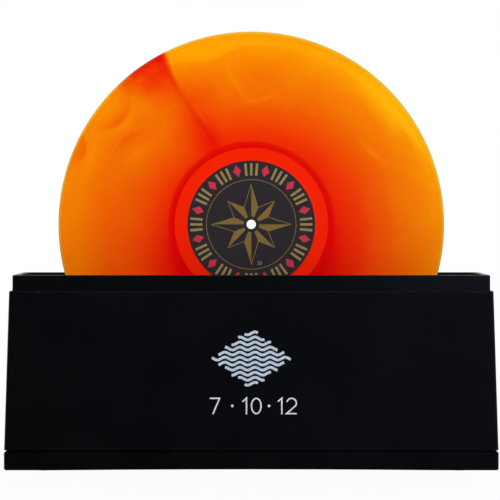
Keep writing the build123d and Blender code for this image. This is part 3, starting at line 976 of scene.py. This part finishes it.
# ---------------------------------------------------------------- the studio
def studio_world():
    """White where the camera looks past the object, and a soft even light on it.

    What lights the object and shows in its gloss is dim towards the viewer's side of the room,
    with a faint blue window to the right, which is stronger in gloss. Gloss also sees less of
    the wall behind the object and of the ceiling than the matt surfaces do.
    """
    front_dimming = 0.98
    window_levels = (0.20, 0.18, 0.30)
    window_gloss = 1.7
    wall_dulling = 0.6
    ceiling_dulling = 0.5
    matt_level = 0.66

    world = bpy.data.worlds.new("studio")
    world.use_nodes = True
    tree = world.node_tree
    tree.nodes.clear()
    path = tree.nodes.new("ShaderNodeLightPath").outputs
    direction = tree.nodes.new("ShaderNodeSeparateXYZ")
    tree.links.new(tree.nodes.new("ShaderNodeTexCoord").outputs["Generated"], direction.inputs[0])
    toward_right = Field(tree, direction.outputs["X"])
    toward_back = Field(tree, direction.outputs["Y"])
    height = Field(tree, direction.outputs["Z"])
    camera_ray = Field(tree, path["Is Camera Ray"])
    glossy = Field(tree, path["Is Glossy Ray"])

    front = toward_back.rise(0.05, -0.45) * height.rise(0.95, 0.65)
    window = toward_right.rise(0.0, 0.12) * (glossy * window_gloss + 1)
    wall = toward_back.rise(0.3, 0.8) * height.rise(0.35, 0.1)
    ceiling = height.rise(0.75, 0.95)
    dulled = 1 - glossy * (wall * wall_dulling + ceiling * ceiling_dulling)
    strength = glossy + (1 - glossy) * matt_level
    tint = tree.nodes.new("ShaderNodeCombineColor")
    for slot, window_level in zip(tint.inputs, window_levels):
        room = 1 - front * (front_dimming - window * window_level)
        plug(tree, camera_ray + (1 - camera_ray) * room * dulled * strength, slot)

    background = tree.nodes.new("ShaderNodeBackground")
    tree.links.new(tint.outputs[0], background.inputs["Color"])
    output = tree.nodes.new("ShaderNodeOutputWorld")
    tree.links.new(background.outputs[0], output.inputs["Surface"])
    bpy.context.scene.world = world


def soft_lamp(name, place, target, size, watts):
    """A square softbox at a place, turned to a target, which gloss doesn't show."""
    lamp = bpy.data.lights.new(name, "AREA")
    lamp.shape = "SQUARE"
    lamp.size = size
    lamp.energy = watts
    holder = bpy.data.objects.new(name, lamp)
    bpy.context.scene.collection.objects.link(holder)
    holder.location = place
    holder.visible_glossy = False
    holder.rotation_mode = "QUATERNION"
    holder.rotation_quaternion = (Vector(target) - Vector(place)).to_track_quat("-Z", "Y")


def floor_material():
    """Pale matt, shown nearly white to the camera, with a faint shadow round the object.

    The camera sees glowing white, and a share of the matt floor, which is more near the object.
    Gloss sees the floor dark in front of the object, as the room there is.
    """
    matt_colour = (0.500, 0.500, 0.510)
    front_dimming = 0.95
    shadow_reach = 0.4
    shadow_share = 0.05

    material = bpy.data.materials.new("floor")
    material.use_nodes = True
    tree = material.node_tree
    tree.nodes.clear()
    place = tree.nodes.new("ShaderNodeSeparateXYZ")
    tree.links.new(tree.nodes.new("ShaderNodeTexCoord").outputs["Object"], place.inputs[0])
    across = Field(tree, place.outputs["X"])
    along = Field(tree, place.outputs["Y"])
    path = tree.nodes.new("ShaderNodeLightPath").outputs
    in_front = Field(tree, path["Is Glossy Ray"]) * along.rise(-0.03, -0.06)
    shade = tree.nodes.new("ShaderNodeCombineColor")
    for slot, level in zip(shade.inputs, matt_colour):
        plug(tree, (1 - in_front * front_dimming) * level, slot)
    matt = tree.nodes.new("ShaderNodeBsdfDiffuse")
    tree.links.new(shade.outputs[0], matt.inputs["Color"])

    glow = tree.nodes.new("ShaderNodeEmission")
    distance = (across * across + along * along) ** 0.5
    shadow = distance.hump(0, shadow_reach) * shadow_share
    mix = tree.nodes.new("ShaderNodeMixShader")
    plug(tree, Field(tree, path["Is Camera Ray"]) * (1 - shadow), mix.inputs[0])
    tree.links.new(matt.outputs[0], mix.inputs[1])
    tree.links.new(glow.outputs[0], mix.inputs[2])
    output = tree.nodes.new("ShaderNodeOutputMaterial")
    tree.links.new(mix.outputs[0], output.inputs["Surface"])
    return material


def floor():
    """A wide flat floor under the object."""
    half = 8.0
    mesh = bpy.data.meshes.new("floor")
    mesh.from_pydata([(-half, -half, 0), (half, -half, 0), (half, half, 0), (-half, half, 0)],
                     [], [(0, 1, 2, 3)])
    mesh.materials.append(floor_material())
    piece = bpy.data.objects.new("floor", mesh)
    bpy.context.scene.collection.objects.link(piece)


def camera():
    """A level camera in front of the record, a little above the rim, with a long lens."""
    lens = bpy.data.cameras.new("camera")
    lens.lens = 178.9
    lens.sensor_width = 36
    lens.shift_y = -0.0768
    lens.clip_end = 100
    holder = bpy.data.objects.new("camera", lens)
    bpy.context.scene.collection.objects.link(holder)
    holder.location = (-1.0 * mm, -1943 * mm, 198 * mm)
    holder.rotation_euler = (radians(90), 0, 0)
    bpy.context.scene.camera = holder


# ---------------------------------------------------------------- assembly
camera()
studio_world()
soft_lamp("key", place=(-1.1, -1.7, 1.1), target=(0, 0, 0.15), size=1.4, watts=27.2)
soft_lamp("fill", place=(1.3, -1.6, 0.9), target=(0, 0, 0.15), size=1.6, watts=22.8)
soft_lamp("back", place=(0.2, 1.6, 1.5), target=(0, 0, 0.2), size=1.6, watts=16)
floor()

# The finish of each CAD node whose name starts so.
node_finishes = {
    "outer_shell": case_plastic,
    "base_tray": case_plastic,
    "inner_tub": tub_plastic(),
    "record_disc": vinyl(),
    "record_label": label_paper(),
    "roller_half": moulded("roller_plastic", (186, 188, 192), (160, 163, 168),
                           roughness=0.32, grain=0.9 * mm),
    "roller_tyre": rubber("tyre_rubber", (38, 38, 40), grain=0.5 * mm),
    "roller_axle": axle_steel,
    "axle_clips": axle_steel,
    "axle_bush": moulded("bush_nylon", (232, 229, 218), (214, 209, 194),
                         roughness=0.4, grain=0.6 * mm),
    "brush_holder": moulded("brush_plastic", (38, 39, 42), (28, 29, 31),
                            roughness=0.48, grain=0.4 * mm),
    "brush_strip": beech(),
    "brush_bristles": hair,
    "foot": rubber("foot_rubber", (30, 30, 31), grain=0.8 * mm),
    "shell_screws": screw_steel,
    "tub_screws": screw_steel,
}
for node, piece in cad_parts.items():
    finish = next(value for start, value in node_finishes.items() if node.startswith(start))
    piece.data.materials.clear()
    piece.data.materials.append(finish)

printed("front_water_lines", water_lines(), on_shell_front, "basin", pale_blue)
printed("front_numerals", record_sizes(), on_shell_front, "basin", silver)
for face_name, face in faces.items():
    slot_numbers(face_name, face)
all_screws()
hair_seed = 7
for face_name, face in faces.items():
    label_prints(face_name, face)
    brush_hair(face_name, face, np.random.default_rng(hair_seed + face))

bpy.context.scene.view_settings.view_transform = "Standard"
